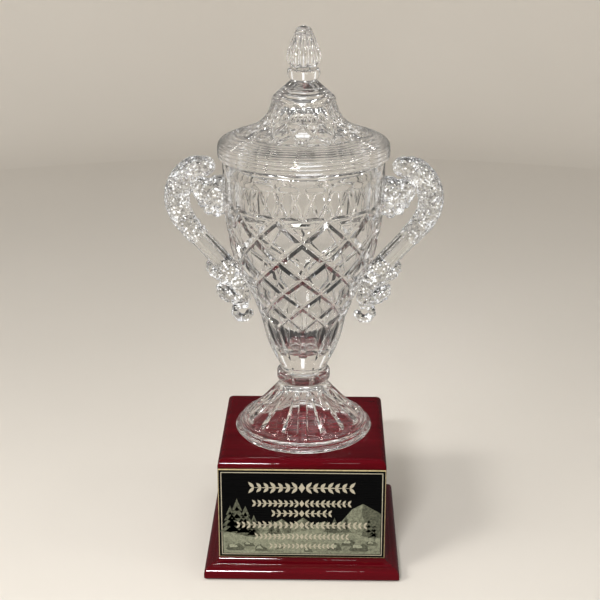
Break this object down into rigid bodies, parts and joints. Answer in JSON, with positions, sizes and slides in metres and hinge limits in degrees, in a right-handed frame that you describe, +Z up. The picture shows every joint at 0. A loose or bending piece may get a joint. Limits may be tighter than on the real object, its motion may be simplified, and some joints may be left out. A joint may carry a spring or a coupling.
{
  "type": "covered crystal trophy urn",
  "caption": "Covered cut-crystal trophy urn with two scroll handles and a lift-off lid, standing on a square lacquered wooden base with a nameplate.",
  "frame": {"origin": "middle of the felt underside, on the surface the award stands on", "axes": "+Z up through the lid's knob, -Y out of the nameplate, +X towards the right-hand handle seen from the front"},
  "size_m": [0.178, 0.129, 0.3555],
  "materials": {
    "cut_crystal": "clear lead crystal, fire-polished, with cut diamonds, flutes and stippled handles",
    "rosewood_lacquer": "wood stained deep cherry red under a thick high-gloss lacquer",
    "raw_board": "plain fibreboard, unpainted",
    "felt": "black pressed felt",
    "nameplate_black": "brass sheet with a satin black coat",
    "nameplate_gold": "bright bare brass where the black coat is cut away",
    "foam_tape": "white double-sided foam tape",
    "clear_resin": "clear cured adhesive"
  },
  "bodies": {
    "award": {"felt_pad": "felt", "bottom_board": "raw_board", "top_board": "rosewood_lacquer", "plate_tape": "foam_tape", "nameplate": "nameplate_black", "foot_adhesive": "clear_resin", "panel_front": "rosewood_lacquer", "moulding_front": "rosewood_lacquer", "panel_right": "rosewood_lacquer", "moulding_right": "rosewood_lacquer", "panel_back": "rosewood_lacquer", "moulding_back": "rosewood_lacquer", "panel_left": "rosewood_lacquer", "moulding_left": "rosewood_lacquer", "crystal_foot": "cut_crystal", "stem_knop": "cut_crystal", "crystal_bowl": "cut_crystal", "handle_right": "cut_crystal", "handle_left": "cut_crystal"},
    "lid": {"lid_dome": "cut_crystal", "lid_finial": "cut_crystal"}
  },
  "joints": [
    {"name": "lid_lift", "type": "slide", "parent": "award", "child": "lid", "axis": [0, 0, 1], "range_m": [0, 0.1]}
  ]
}
